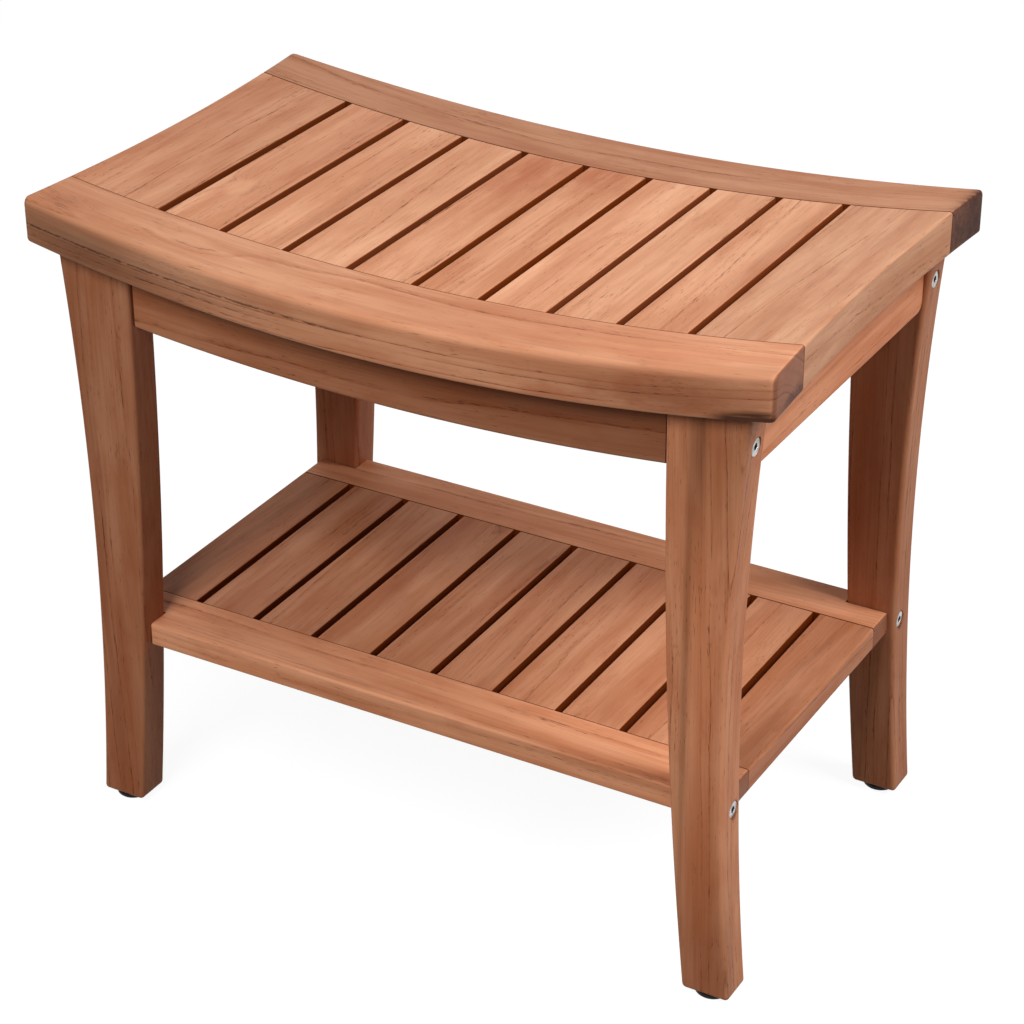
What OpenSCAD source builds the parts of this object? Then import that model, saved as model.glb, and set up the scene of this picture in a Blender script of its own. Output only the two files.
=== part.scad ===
// Curved teak shower bench with a slatted seat, sabre legs and a slatted shelf.
// Millimetres. +Z is up, +X runs along the bench and +Y points to its rear.
// The origin is on the floor, under the middle of the bench.

/* [Seat] */
// Height of the seat's top at its middle, the lowest point of its curve
seat_mid_h = 438; // [400:1:480]
// Radius of the curve that lifts both ends of the seat
seat_curve_r = 1690; // [1500:10:2400]
// Length of a slat, which is the clear distance between the two long rails
slat_len = 223; // [200:1:240]
// Width of a seat or shelf slat
slat_w = 42.6; // [38:0.2:46]
// Drainage gap between two slats
slat_gap = 5; // [4:0.5:9]
// Thickness of an inner seat slat
slat_t = 18; // [15:0.5:21]
// Width of the wide board at each end of the seat, at its narrow middle
end_slat_w = 66; // [58:0.2:76]
// Thickness of the long rails and the end boards
rail_t = 30; // [25:0.5:34]
// Width of a long rail at the middle of the bench
rail_w = 54.5; // [48:0.5:62]
// How far the outer edge of a long rail bows out between its ends
rail_bow = 8; // [3:0.5:14]
// How far each end of the seat is hollowed in plan
end_hollow = 8; // [3:0.5:12]
// Radius of the seat's four corners in plan
corner_r = 4; // [3:0.5:10]
// Radius of the round-over along the top of the seat's long edges
seat_round = 5; // [3:0.5:7]
// Radius of the arris along the top of the seat's two ends
end_arris = 2; // [1:0.2:3]
// Radius of the arris along the seat's outer lower edge
seat_arris = 2.4; // [1:0.2:3.2]

/* [Legs] */
// Thickness of a leg, front to rear
leg_t = 26.5; // [22:0.5:32]
// Width of a leg at its top, seen from the front
leg_top_w = 53; // [46:0.5:58]
// Height of the waist, where the outer edge is nearest the middle of the bench
leg_waist_h = 214; // [180:1:250]
// How far the waist stands in from the end of the seat
leg_waist_inset = 21; // [16:0.5:26]
// Radius of the hollow outer edge of a leg
leg_outer_r = 2200; // [1800:10:3000]
// Radius of the inner edge of a leg
leg_inner_r = 3900; // [3400:10:5500]
// How far a leg's face stands in from the long edge of the seat
leg_face_inset = 17; // [14:0.5:22]
// Radius of the arrises down the long edges of a leg
leg_arris = 3; // [1:0.2:4]

/* [Aprons] */
// Height of the front and rear aprons under the rails
apron_h = 40; // [34:0.5:48]
// Thickness of the front and rear aprons
apron_t = 20; // [16:0.5:22]
// How far these aprons stand in from the legs' faces
apron_recess = 4; // [2:0.5:5]
// Height of a side apron at its outer face
side_apron_h = 45; // [38:0.5:52]
// Thickness of a side apron
side_apron_t = 20; // [16:0.5:24]
// How far a side apron stands in from the legs' outer edges
side_apron_recess = 4.5; // [2:0.5:8]
// Radius of the lower corners of a side apron
side_apron_corner_r = 6; // [3:0.5:10]

/* [Shelf] */
// Height of the shelf's top
shelf_h = 149.5; // [120:0.5:190]
// Thickness of the shelf's rails and end boards
shelf_rail_t = 17; // [15:0.5:20]
// Width of a shelf rail
shelf_rail_w = 41; // [36:0.5:46]
// Thickness of an inner shelf slat
shelf_slat_t = 14; // [12:0.5:17]
// How far the shelf's long edges stand in from the legs' faces
shelf_face_inset = 9.5; // [6:0.5:12]
// How far the shelf's ends stand in from the legs' outer edges
shelf_end_inset = 5.5; // [3:0.5:9]

/* [Dowels] */
// Diameter of a seat or apron dowel
dowel_d = 8; // [6:0.5:10]
// Length of a seat or apron dowel
dowel_len = 30; // [24:1:34]
// Diameter of a shelf dowel
shelf_dowel_d = 6; // [5:0.5:7]
// Length of a shelf dowel
shelf_dowel_len = 26; // [20:1:30]
// Distance between the two dowels in one end of a seat end board
end_dowel_gap = 30; // [22:1:34]
// Distance from an apron bolt's tip to the nearest dowel's axis
dowel_clearance = 20; // [12:1:40]
// Distance between the dowels along a side apron's top
side_dowel_gap = 70; // [55:1:80]

/* [Bolts] */
// Diameter of a bolt's shank
bolt_d = 6; // [5:0.5:7]
// Diameter of a bolt's countersunk head
head_d = 12; // [11:0.5:14]
// Width across the flats of the hex socket
socket_w = 4; // [3:0.5:5]
// Depth of the hex socket
socket_h = 2.4; // [1.5:0.1:2.8]
// Depth of a head's face below the wood at its centre
head_sink = 0.6; // [0.4:0.1:1.5]
// Diameter of a barrel nut
nut_d = 10; // [9:0.5:11]
// Length of a barrel nut
nut_len = 14; // [12:0.5:15]
// Distance from a leg's inner edge to a barrel nut's axis
nut_reach = 30; // [22:1:38]
// How far a bolt's tip stands out of its barrel nut
tip_reach = 3; // [1:0.5:6]
// How far a shelf bolt's axis stands in from the shelf's long edge
shelf_bolt_inset = 7.5; // [6.5:0.1:9]

/* [Feet] */
// Height of a foot pad
pad_h = 3.7; // [3.2:0.1:8]
// Diameter of a foot pad
pad_d = 24; // [20:0.5:26]
// Height of the sloping rim under a foot pad
pad_rim = 1.2; // [0.5:0.1:1.4]
// Travel of a levelling foot, from screwed right in to screwed out
foot_travel = 8; // [4:0.5:10]
// Diameter of a foot's threaded stud
stud_d = 6; // [5:0.5:7]
// Length of stud that stays above the insert when the foot is screwed out
stud_spare = 2; // [1:0.5:6]
// Diameter of the disc that holds the stud in its pad
stud_disc_d = 12; // [10:0.5:14]
// Thickness of this disc
stud_disc_t = 1.2; // [1:0.1:1.5]
// Outer diameter of a threaded insert in a leg
insert_d = 9; // [8.5:0.5:11]
// Length of a threaded insert
insert_len = 10; // [8:0.5:12]

/* [Hidden] */
$fn = 96;
long_fn = 1440;           // facets of the big circles, so that a long curve stays smooth
slat_count = 8;           // inner slats in the seat, and in the shelf
glue_gap = 0.1;           // clearance round a glued, bolted or seated piece
fit_gap = 0.05;           // radial clearance of a stud in its insert
part_gap = 0.3;           // clearance between a foot pad and its leg
lap_share = 0.05;         // how far a rounding circle stands past the edges it joins, over its radius
cut = 20;                 // how far a cutting shape runs past what it cuts
edge_cut = 2;             // the same for the cutter of a rounded edge

pitch = slat_w + slat_gap;
slat_field = slat_count * pitch / 2 + slat_gap / 2;   // middle to the inner edge of an end board
seam_y = slat_len / 2;
half_len = slat_field + end_slat_w;                   // at the hollow of the seat's end
half_depth = seam_y + rail_w;                         // at the bow of the seat's long edge
bow_r = (half_len * half_len + rail_bow * rail_bow) / (2 * rail_bow);
end_r = (half_depth * half_depth + end_hollow * end_hollow) / (2 * end_hollow);
curve_z = seat_mid_h + seat_curve_r;                  // height of the seat curve's axis
seat_low_z = seat_mid_h - rail_t - cut;               // upright cutters run from here
seat_cut_h = rail_t + seat_z(half_len + end_hollow) - seat_mid_h + 2 * cut;
corner_x = half_len + end_hollow - inset(corner_r);    // axis of a rounded corner
corner_y = half_depth - rail_bow - inset(corner_r);

leg_foot_z = pad_h + part_gap;
leg_face_y = half_depth - leg_face_inset;
leg_back_y = leg_face_y - leg_t;
leg_mid_y = leg_face_y - leg_t / 2;
leg_waist_x = half_len - leg_waist_inset;
leg_top_z = seat_mid_h - rail_t;                      // where the inner edge is plumb
leg_top_x = leg_outer_x(leg_top_z) - leg_top_w;
foot_x = (leg_inner_x(leg_foot_z) + leg_outer_x(leg_foot_z)) / 2;

apron_face_y = leg_face_y - apron_recess;
apron_mid_y = apron_face_y - apron_t / 2;
apron_end_x = leg_top_x - glue_gap;
apron_bolt_z = seat_z(leg_top_x) - rail_t - apron_h / 2;
side_apron_x = leg_outer_x(leg_top_z) - side_apron_recess;
side_apron_mid_x = side_apron_x - side_apron_t / 2;
side_apron_z = seat_z(side_apron_x) - rail_t - side_apron_h;
side_apron_y = leg_back_y - glue_gap;

shelf_z = shelf_h - shelf_rail_t;                     // underside of the shelf's rails
shelf_face_y = leg_face_y - shelf_face_inset;
shelf_seam_y = shelf_face_y - shelf_rail_w;
shelf_end_x = leg_outer_x(shelf_h) - shelf_end_inset;
notch_x = leg_inner_x(shelf_h) - glue_gap;            // the shelf is notched round the legs
notch_y = leg_back_y - glue_gap;
shelf_bolt_y = shelf_face_y - shelf_bolt_inset;
shelf_bolt_z = shelf_h - shelf_rail_t / 2;

head_h = (head_d - bolt_d) / 2;                       // a 90 degree countersink
nut_x_apron = leg_top_x - nut_reach;
nut_x_shelf = notch_x - nut_reach;
apron_tip_x = nut_x_apron - nut_d / 2 - tip_reach;    // where the bolts end
shelf_tip_x = nut_x_shelf - nut_d / 2 - tip_reach;
apron_dowel_count = 4;
apron_dowel_gap = 2 * (apron_tip_x - dowel_clearance) / (apron_dowel_count - 1);
stud_len = insert_len + foot_travel + stud_spare;     // above the foot of the leg
insert_hole_h = stud_len + glue_gap;

function seat_z(x) = curve_z - sqrt(seat_curve_r * seat_curve_r - x * x);
function leg_outer_x(z) = leg_waist_x + leg_outer_r
    - sqrt(leg_outer_r * leg_outer_r - pow(z - leg_waist_h, 2));
function leg_inner_x(z) = leg_top_x + leg_inner_r
    - sqrt(leg_inner_r * leg_inner_r - pow(leg_top_z - z, 2));
function curve_angle(run) = run / seat_curve_r * 180 / PI;
// how far inside its edges the centre of a rounding circle lies
function inset(r) = r * (1 - lap_share);
// middle of inner slat number i, counted from the left end
function slat_run(i) = (i - (slat_count + 1) / 2) * pitch;

// ---- placing ----

// A child drawn at the right or front is turned over to the left or rear.
module side_of(x_side, y_side) {
    mirror([x_side < 0 ? 1 : 0, 0, 0]) mirror([0, y_side < 0 ? 1 : 0, 0]) children();
}

// All four corners, for what repeats at every leg.
module at_corners() {
    for (x_side = [-1, 1], y_side = [-1, 1]) side_of(x_side, y_side) children();
}

// Puts a child on the seat's curve: its origin is depth below the top, run along the arc.
module on_curve(run, depth) {
    translate([0, 0, curve_z]) rotate([0, -curve_angle(run), 0])
        translate([0, 0, -seat_curve_r - depth]) children();
}

// A round bar along X or Y, centred on its origin.
module bar_x(d, len) rotate([0, 90, 0]) cylinder(d = d, h = len, center = true);
module bar_y(d, len) rotate([90, 0, 0]) cylinder(d = d, h = len, center = true);

// A big circle along Y, whose rim is a long curve of the bench.
module long_curve_y(r, len) rotate([90, 0, 0]) cylinder(r = r, h = len, center = true, $fn = long_fn);

// ---- rounded edges ----

// Section of what a rounding takes off. The edge is at the origin, with the wood at -X and -Y.
module round_section(r, centre_x, centre_y) {
    difference() {
        translate([centre_x, centre_y]) square([edge_cut - centre_x, edge_cut - centre_y]);
        translate([centre_x, centre_y]) circle(r = r);
    }
}

// A rounding along the outer edge of a rail, which lies at a depth below the seat's top. The edge is
// nearly a circle, whose centre lies where its bow in plan and the seat's curve bend together.
module rail_edge_cutter(r, depth) {
    rise = 1 / (seat_curve_r + depth);
    bow = 1 / bow_r;
    lean = atan2(bow, rise);
    edge_r = 1 / sqrt(rise * rise + bow * bow);
    translate([0, half_depth - edge_r * sin(lean), seat_mid_h - depth + edge_r * cos(lean)])
        rotate([lean - 90, 0, 0]) rotate_extrude($fn = long_fn)
            translate([edge_r, 0]) rotate(90 - lean)
                mirror([0, depth > 0 ? 1 : 0]) round_section(r, -inset(r), -inset(r));
}

// A rounding along the seat's hollow right end. Its circle lies in the plane that touches the curved
// face at the end's middle, so the end stands at an angle to that plane.
module end_edge_cutter(r, depth) {
    face_r = seat_curve_r + depth;
    lean = asin(half_len / face_r);
    edge_r = end_r * cos(lean);
    turn = depth > 0 ? -1 : 1;
    translate([half_len + edge_r * cos(lean), 0, curve_z - face_r * cos(lean) + edge_r * sin(lean)])
        rotate([0, -lean, 0]) rotate_extrude($fn = long_fn)
            translate([edge_r, 0]) mirror([1, 0]) mirror([0, depth > 0 ? 1 : 0])
                round_section(r, -inset(r) * (1 + turn * sin(lean)) / cos(lean), -inset(r));
}

module end_edge_cutters() {
    end_edge_cutter(end_arris, 0);
    end_edge_cutter(seat_arris, rail_t);
}

// Roundings along both edges of a leg that run on a big circle. wood_side is 1 where the leg lies
// outside the circle and -1 where it lies inside.
module leg_edge_cutter(r, circle_r, wood_side) {
    for (face = [0, 1]) rotate([90, 0, 0]) rotate_extrude($fn = long_fn)
        mirror([0, face]) translate([circle_r, leg_t / 2])
            mirror([wood_side > 0 ? 1 : 0, 0]) round_section(r, -inset(r), -inset(r));
}

// ---- seat ----

// The curved slab between two depths below the seat's top, from y0 to y1.
module curved_slab(depth0, depth1, y0, y1) {
    mid = (y0 + y1) / 2;
    difference() {
        translate([0, mid, curve_z]) long_curve_y(seat_curve_r + depth1, y1 - y0);
        translate([0, mid, curve_z]) long_curve_y(seat_curve_r + depth0, y1 - y0 + cut);
    }
}

// Everything below a depth under the seat's top.
module below_curve(depth) {
    difference() {
        children();
        translate([0, 0, curve_z]) long_curve_y(seat_curve_r + depth, 4 * half_depth);
    }
}

// Hollow of the seat's right end, as a cutter.
module end_cutter() {
    translate([half_len + end_r, 0, seat_low_z]) cylinder(r = end_r, h = seat_cut_h, $fn = long_fn);
}

// What a rounded corner takes off, at the right rear.
module corner_cutter() {
    difference() {
        translate([corner_x, corner_y, seat_low_z]) cube([2 * corner_r, 2 * corner_r, seat_cut_h]);
        translate([corner_x, corner_y, seat_low_z - 1]) cylinder(r = corner_r, h = seat_cut_h + 2);
    }
}

// Long rail before its edges are rounded, drawn at the rear.
module square_rail() {
    reach = half_len + end_hollow + cut;
    difference() {
        intersection() {
            curved_slab(0, rail_t, seam_y, half_depth + cut);
            translate([-reach, 0, seat_low_z]) cube([2 * reach, half_depth + cut, seat_cut_h]);
            translate([0, half_depth - bow_r, seat_low_z])
                cylinder(r = bow_r, h = seat_cut_h, $fn = long_fn);
        }
        for (x_side = [-1, 1]) side_of(x_side, 1) {
            end_cutter();
            corner_cutter();
        }
        seat_dowel_holes();
        apron_dowel_holes();
    }
}

// Long rail: first the long edge is rounded, then both ends, so that they meet at the corners.
module seat_rail() {
    difference() {
        difference() {
            square_rail();
            rail_edge_cutter(seat_round, 0);
            rail_edge_cutter(seat_arris, rail_t);
        }
        for (x_side = [-1, 1]) side_of(x_side, 1) end_edge_cutters();
    }
}

// End board, drawn at the right.
module seat_end_board() {
    difference() {
        intersection() {
            curved_slab(0, rail_t, -seam_y, seam_y);
            on_curve(slat_field, 0) translate([0, -seam_y, -rail_t - cut])
                cube([end_slat_w + end_hollow + cut, 2 * seam_y, rail_t + 2 * cut]);
        }
        end_cutter();
        end_edge_cutters();
        seat_dowel_holes();
        side_dowel_holes();
    }
}

// Inner slat number i.
module seat_slat(i) {
    difference() {
        intersection() {
            curved_slab(0, slat_t, -seam_y, seam_y);
            on_curve(slat_run(i), 0) translate([-slat_w / 2, -seam_y, -slat_t - cut])
                cube([slat_w, 2 * seam_y, slat_t + 2 * cut]);
        }
        seat_dowel_holes();
    }
}

// ---- legs and aprons ----

// Sabre leg, drawn at the right rear.
module leg() {
    difference() {
        below_curve(rail_t + glue_gap) intersection() {
            translate([leg_top_x - cut, leg_back_y, leg_foot_z])
                cube([leg_top_w + 3 * cut, leg_t, seat_mid_h]);
            translate([leg_top_x + leg_inner_r, leg_mid_y, leg_top_z]) long_curve_y(leg_inner_r, leg_t + cut);
        }
        translate([leg_waist_x + leg_outer_r, leg_mid_y, leg_waist_h]) {
            long_curve_y(leg_outer_r, leg_t + cut);
            leg_edge_cutter(leg_arris, leg_outer_r, 1);
        }
        translate([leg_top_x + leg_inner_r, leg_mid_y, leg_top_z])
            leg_edge_cutter(leg_arris, leg_inner_r, -1);
        bolt_hole(apron_bolt_x(), apron_mid_y, apron_bolt_z);
        bolt_hole(shelf_bolt_x(), shelf_bolt_y, shelf_bolt_z);
        translate([foot_x, leg_mid_y, leg_foot_z - 1])
            cylinder(d = insert_d + 2 * glue_gap, h = insert_hole_h + 1);
    }
}

// Front or rear apron, drawn at the rear, curved like the seat.
module long_apron() {
    difference() {
        intersection() {
            curved_slab(rail_t + glue_gap, rail_t + apron_h, apron_face_y - apron_t, apron_face_y);
            translate([-apron_end_x, 0, seat_mid_h - rail_t - apron_h - cut])
                cube([2 * apron_end_x, half_depth, apron_h + rail_t + 2 * cut]);
        }
        apron_dowel_holes();
        for (x_side = [-1, 1]) side_of(x_side, 1) {
            // Bolt hole from the end, and the barrel nut's hole from the inner face.
            translate([nut_x_apron, apron_mid_y, apron_bolt_z]) {
                bar_x(bolt_d + 4 * glue_gap, 2 * (nut_reach + cut));
                translate([0, -apron_t / 2, 0])
                    bar_y(nut_d + 2 * glue_gap, apron_t + nut_len + 2 * glue_gap);
            }
        }
    }
}

// Side apron, drawn at the right, level along its lower edge.
module side_apron() {
    r = side_apron_corner_r;
    top = seat_z(half_len) - side_apron_z;
    difference() {
        below_curve(rail_t + glue_gap) union() {
            translate([side_apron_x - side_apron_t, -side_apron_y, side_apron_z + r])
                cube([side_apron_t, 2 * side_apron_y, top]);
            translate([side_apron_x - side_apron_t, -side_apron_y + r, side_apron_z])
                cube([side_apron_t, 2 * (side_apron_y - r), r + 1]);
            for (y_side = [-1, 1])
                translate([side_apron_mid_x, y_side * (side_apron_y - r), side_apron_z + r])
                    bar_x(2 * r, side_apron_t);
        }
        side_dowel_holes();
    }
}

// ---- shelf ----

// Shelf rail, drawn at the rear, notched round both legs.
module shelf_rail() {
    difference() {
        translate([-shelf_end_x, shelf_seam_y, shelf_z])
            cube([2 * shelf_end_x, shelf_rail_w, shelf_rail_t]);
        for (x_side = [-1, 1]) side_of(x_side, 1) {
            translate([notch_x, notch_y, shelf_z - 1]) cube([leg_top_w, leg_t, shelf_rail_t + 2]);
            // Bolt hole from the notch, and the barrel nut's hole from below.
            translate([nut_x_shelf, shelf_bolt_y, shelf_bolt_z]) {
                bar_x(bolt_d + 4 * glue_gap, 2 * (nut_reach + cut));
                translate([0, 0, -shelf_rail_t])
                    cylinder(d = nut_d + 2 * glue_gap, h = shelf_rail_t + nut_len / 2 + glue_gap);
            }
        }
        shelf_dowel_holes();
    }
}

// Shelf end board, drawn at the right.
module shelf_end_board() {
    difference() {
        translate([slat_field, -shelf_seam_y, shelf_z])
            cube([shelf_end_x - slat_field, 2 * shelf_seam_y, shelf_rail_t]);
        shelf_dowel_holes();
    }
}

module shelf_slat(i) {
    difference() {
        translate([slat_run(i) - slat_w / 2, -shelf_seam_y, shelf_h - shelf_slat_t])
            cube([slat_w, 2 * shelf_seam_y, shelf_slat_t]);
        shelf_dowel_holes();
    }
}

// ---- dowels and their holes ----

// Each module puts its child where a dowel's middle goes, for the dowel and for its hole.
module at_seat_dowels() {
    for (y_side = [-1, 1]) {
        for (i = [1 : slat_count])
            on_curve(slat_run(i), slat_t / 2) translate([0, y_side * seam_y, 0]) children();
        for (x_side = [-1, 1], step = [-1, 1])
            on_curve(x_side * (slat_field + (end_slat_w + step * end_dowel_gap) / 2), rail_t / 2)
                translate([0, y_side * seam_y, 0]) children();
    }
}

module at_apron_dowels() {
    for (y_side = [-1, 1], i = [0 : apron_dowel_count - 1])
        on_curve((i - (apron_dowel_count - 1) / 2) * apron_dowel_gap, rail_t)
            translate([0, y_side * apron_mid_y, 0]) children();
}

module at_side_dowels() {
    for (x_side = [-1, 1], step = [-1 : 1])
        on_curve(x_side * side_apron_mid_x, rail_t) translate([0, step * side_dowel_gap, 0]) children();
}

module at_shelf_dowels() {
    for (y_side = [-1, 1]) {
        for (i = [1 : slat_count])
            translate([slat_run(i), y_side * shelf_seam_y, shelf_h - shelf_slat_t / 2]) children();
        for (x_side = [-1, 1])
            translate([x_side * (slat_field + shelf_end_x) / 2, y_side * shelf_seam_y, shelf_bolt_z])
                children();
    }
}

module seat_dowel_holes() at_seat_dowels() bar_y(dowel_d + 2 * glue_gap, dowel_len + 4 * glue_gap);
module shelf_dowel_holes()
    at_shelf_dowels() bar_y(shelf_dowel_d + 2 * glue_gap, shelf_dowel_len + 4 * glue_gap);
module apron_dowel_holes()
    at_apron_dowels() cylinder(d = dowel_d + 2 * glue_gap, h = dowel_len + 4 * glue_gap, center = true);
module side_dowel_holes()
    at_side_dowels() cylinder(d = dowel_d + 2 * glue_gap, h = dowel_len + 4 * glue_gap, center = true);

// ---- bolts, nuts and feet ----

// Where the face of a head lies, below the leg's outer edge.
function apron_bolt_x() = leg_outer_x(apron_bolt_z) - head_sink;
function shelf_bolt_x() = leg_outer_x(shelf_bolt_z) - head_sink;

// Countersunk bolt pointing at -X, with its face at x.
module bolt(x, y, z, tip_x) {
    translate([x, y, z]) rotate([0, -90, 0]) difference() {
        union() {
            cylinder(d1 = head_d, d2 = bolt_d, h = head_h);
            cylinder(d = bolt_d, h = x - tip_x);
        }
        translate([0, 0, -1]) cylinder(d = socket_w / cos(30), h = socket_h + 1, $fn = 6);
    }
}

// The hole for it through a leg.
module bolt_hole(x, y, z) {
    translate([x, y, z]) rotate([0, -90, 0]) {
        translate([0, 0, -cut]) cylinder(d = head_d + 4 * glue_gap, h = cut);
        cylinder(d1 = head_d + 4 * glue_gap, d2 = bolt_d + 4 * glue_gap, h = head_h);
        cylinder(d = bolt_d + 4 * glue_gap, h = 2 * leg_top_w);
    }
}

// Barrel nut along Y, with the bolt's hole across it.
module barrel_nut() {
    difference() {
        bar_y(nut_d, nut_len);
        bar_x(bolt_d + 2 * fit_gap, 2 * nut_d);
    }
}

module foot_insert() {
    translate([foot_x, leg_mid_y, leg_foot_z]) difference() {
        cylinder(d = insert_d, h = insert_len);
        translate([0, 0, -1]) cylinder(d = stud_d + 2 * fit_gap, h = insert_len + 2);
    }
}

// Foot pad with a sloping rim, moulded round the stud's disc.
module foot_pad() {
    translate([foot_x, leg_mid_y, 0]) difference() {
        union() {
            cylinder(d1 = pad_d - 2 * pad_rim, d2 = pad_d, h = pad_rim);
            translate([0, 0, pad_rim]) cylinder(d = pad_d, h = pad_h - pad_rim);
        }
        translate([0, 0, pad_rim - fit_gap])
            cylinder(d = stud_disc_d + 2 * fit_gap, h = stud_disc_t + 2 * fit_gap);
        translate([0, 0, pad_rim]) cylinder(d = stud_d + 2 * fit_gap, h = pad_h);
    }
}

module foot_stud() {
    translate([foot_x, leg_mid_y, pad_rim]) {
        cylinder(d = stud_disc_d, h = stud_disc_t);
        cylinder(d = stud_d, h = leg_foot_z - pad_rim + stud_len);
    }
}

// ---- nodes ----

module teak() color([0.72, 0.45, 0.30]) children();
module dark_teak() color([0.60, 0.36, 0.24]) children();
module beech() color([0.85, 0.70, 0.52]) children();
module steel() color([0.78, 0.79, 0.80]) children();
module brass() color([0.80, 0.65, 0.35]) children();
module black_plastic() color([0.08, 0.08, 0.08]) children();

module seat_front_rail() dark_teak() side_of(1, -1) seat_rail();
module seat_rear_rail() dark_teak() seat_rail();
module seat_end_board_left() teak() side_of(-1, 1) seat_end_board();
module seat_end_board_right() teak() seat_end_board();
module front_apron() dark_teak() side_of(1, -1) long_apron();
module rear_apron() dark_teak() long_apron();
module side_apron_left() dark_teak() side_of(-1, 1) side_apron();
module side_apron_right() dark_teak() side_apron();
module leg_front_left() dark_teak() side_of(-1, -1) leg();
module leg_front_right() dark_teak() side_of(1, -1) leg();
module leg_rear_left() dark_teak() side_of(-1, 1) leg();
module leg_rear_right() dark_teak() leg();
module shelf_front_rail() dark_teak() side_of(1, -1) shelf_rail();
module shelf_rear_rail() dark_teak() shelf_rail();
module shelf_end_board_left() teak() side_of(-1, 1) shelf_end_board();
module shelf_end_board_right() teak() shelf_end_board();
module seat_dowels() beech() at_seat_dowels() bar_y(dowel_d, dowel_len);
module apron_dowels() beech() at_apron_dowels() cylinder(d = dowel_d, h = dowel_len, center = true);
module side_apron_dowels() beech() at_side_dowels() cylinder(d = dowel_d, h = dowel_len, center = true);
module shelf_dowels() beech() at_shelf_dowels() bar_y(shelf_dowel_d, shelf_dowel_len);
module apron_bolts() steel() at_corners()
    bolt(apron_bolt_x(), apron_mid_y, apron_bolt_z, apron_tip_x);
module shelf_bolts() steel() at_corners()
    bolt(shelf_bolt_x(), shelf_bolt_y, shelf_bolt_z, shelf_tip_x);
module apron_barrel_nuts() steel() at_corners()
    translate([nut_x_apron, apron_mid_y, apron_bolt_z]) barrel_nut();
module shelf_barrel_nuts() steel() at_corners()
    translate([nut_x_shelf, shelf_bolt_y, shelf_bolt_z]) rotate([90, 0, 0]) barrel_nut();
module foot_inserts() brass() at_corners() foot_insert();
module foot_pad_at(x_side, y_side) black_plastic() side_of(x_side, y_side) foot_pad();
module foot_stud_at(x_side, y_side) steel() side_of(x_side, y_side) foot_stud();

seat_front_rail();
seat_rear_rail();
seat_end_board_left();
seat_end_board_right();
teak() seat_slat(1);  // seat_slat_1
teak() seat_slat(2);  // seat_slat_2
teak() seat_slat(3);  // seat_slat_3
teak() seat_slat(4);  // seat_slat_4
teak() seat_slat(5);  // seat_slat_5
teak() seat_slat(6);  // seat_slat_6
teak() seat_slat(7);  // seat_slat_7
teak() seat_slat(8);  // seat_slat_8
front_apron();
rear_apron();
side_apron_left();
side_apron_right();
leg_front_left();
leg_front_right();
leg_rear_left();
leg_rear_right();
shelf_front_rail();
shelf_rear_rail();
shelf_end_board_left();
shelf_end_board_right();
teak() shelf_slat(1);  // shelf_slat_1
teak() shelf_slat(2);  // shelf_slat_2
teak() shelf_slat(3);  // shelf_slat_3
teak() shelf_slat(4);  // shelf_slat_4
teak() shelf_slat(5);  // shelf_slat_5
teak() shelf_slat(6);  // shelf_slat_6
teak() shelf_slat(7);  // shelf_slat_7
teak() shelf_slat(8);  // shelf_slat_8
seat_dowels();
apron_dowels();
side_apron_dowels();
shelf_dowels();
apron_bolts();
shelf_bolts();
apron_barrel_nuts();
shelf_barrel_nuts();
foot_inserts();
foot_pad_at(-1, -1);  // foot_pad_front_left
foot_pad_at(1, -1);  // foot_pad_front_right
foot_pad_at(-1, 1);  // foot_pad_rear_left
foot_pad_at(1, 1);  // foot_pad_rear_right
foot_stud_at(-1, -1);  // foot_stud_front_left
foot_stud_at(1, -1);  // foot_stud_front_right
foot_stud_at(-1, 1);  // foot_stud_rear_left
foot_stud_at(1, 1);  // foot_stud_rear_right
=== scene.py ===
"""Curved teak shower bench: a slatted seat on four sabre legs, with a slatted shelf between them.

Metres. +Z is up, +X runs along the bench and +Y points to its rear.
"""

import bpy
import numpy as np
from mathutils import Matrix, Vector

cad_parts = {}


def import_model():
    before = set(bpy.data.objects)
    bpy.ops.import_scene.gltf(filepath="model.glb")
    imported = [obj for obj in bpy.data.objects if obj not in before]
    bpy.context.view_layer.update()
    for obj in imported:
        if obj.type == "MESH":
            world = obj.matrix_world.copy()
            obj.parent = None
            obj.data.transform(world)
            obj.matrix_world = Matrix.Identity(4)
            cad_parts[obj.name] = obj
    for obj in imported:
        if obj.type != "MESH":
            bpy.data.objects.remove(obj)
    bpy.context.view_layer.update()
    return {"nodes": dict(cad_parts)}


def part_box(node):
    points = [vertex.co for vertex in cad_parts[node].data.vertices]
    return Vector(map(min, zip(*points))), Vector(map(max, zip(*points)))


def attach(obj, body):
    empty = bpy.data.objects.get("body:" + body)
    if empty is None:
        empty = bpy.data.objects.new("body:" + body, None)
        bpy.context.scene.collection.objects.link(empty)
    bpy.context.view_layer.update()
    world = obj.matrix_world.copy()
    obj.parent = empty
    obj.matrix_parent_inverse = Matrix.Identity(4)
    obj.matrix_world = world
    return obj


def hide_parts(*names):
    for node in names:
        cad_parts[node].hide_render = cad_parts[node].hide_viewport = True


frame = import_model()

MM = 0.001

# ---- sizes ----

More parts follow.
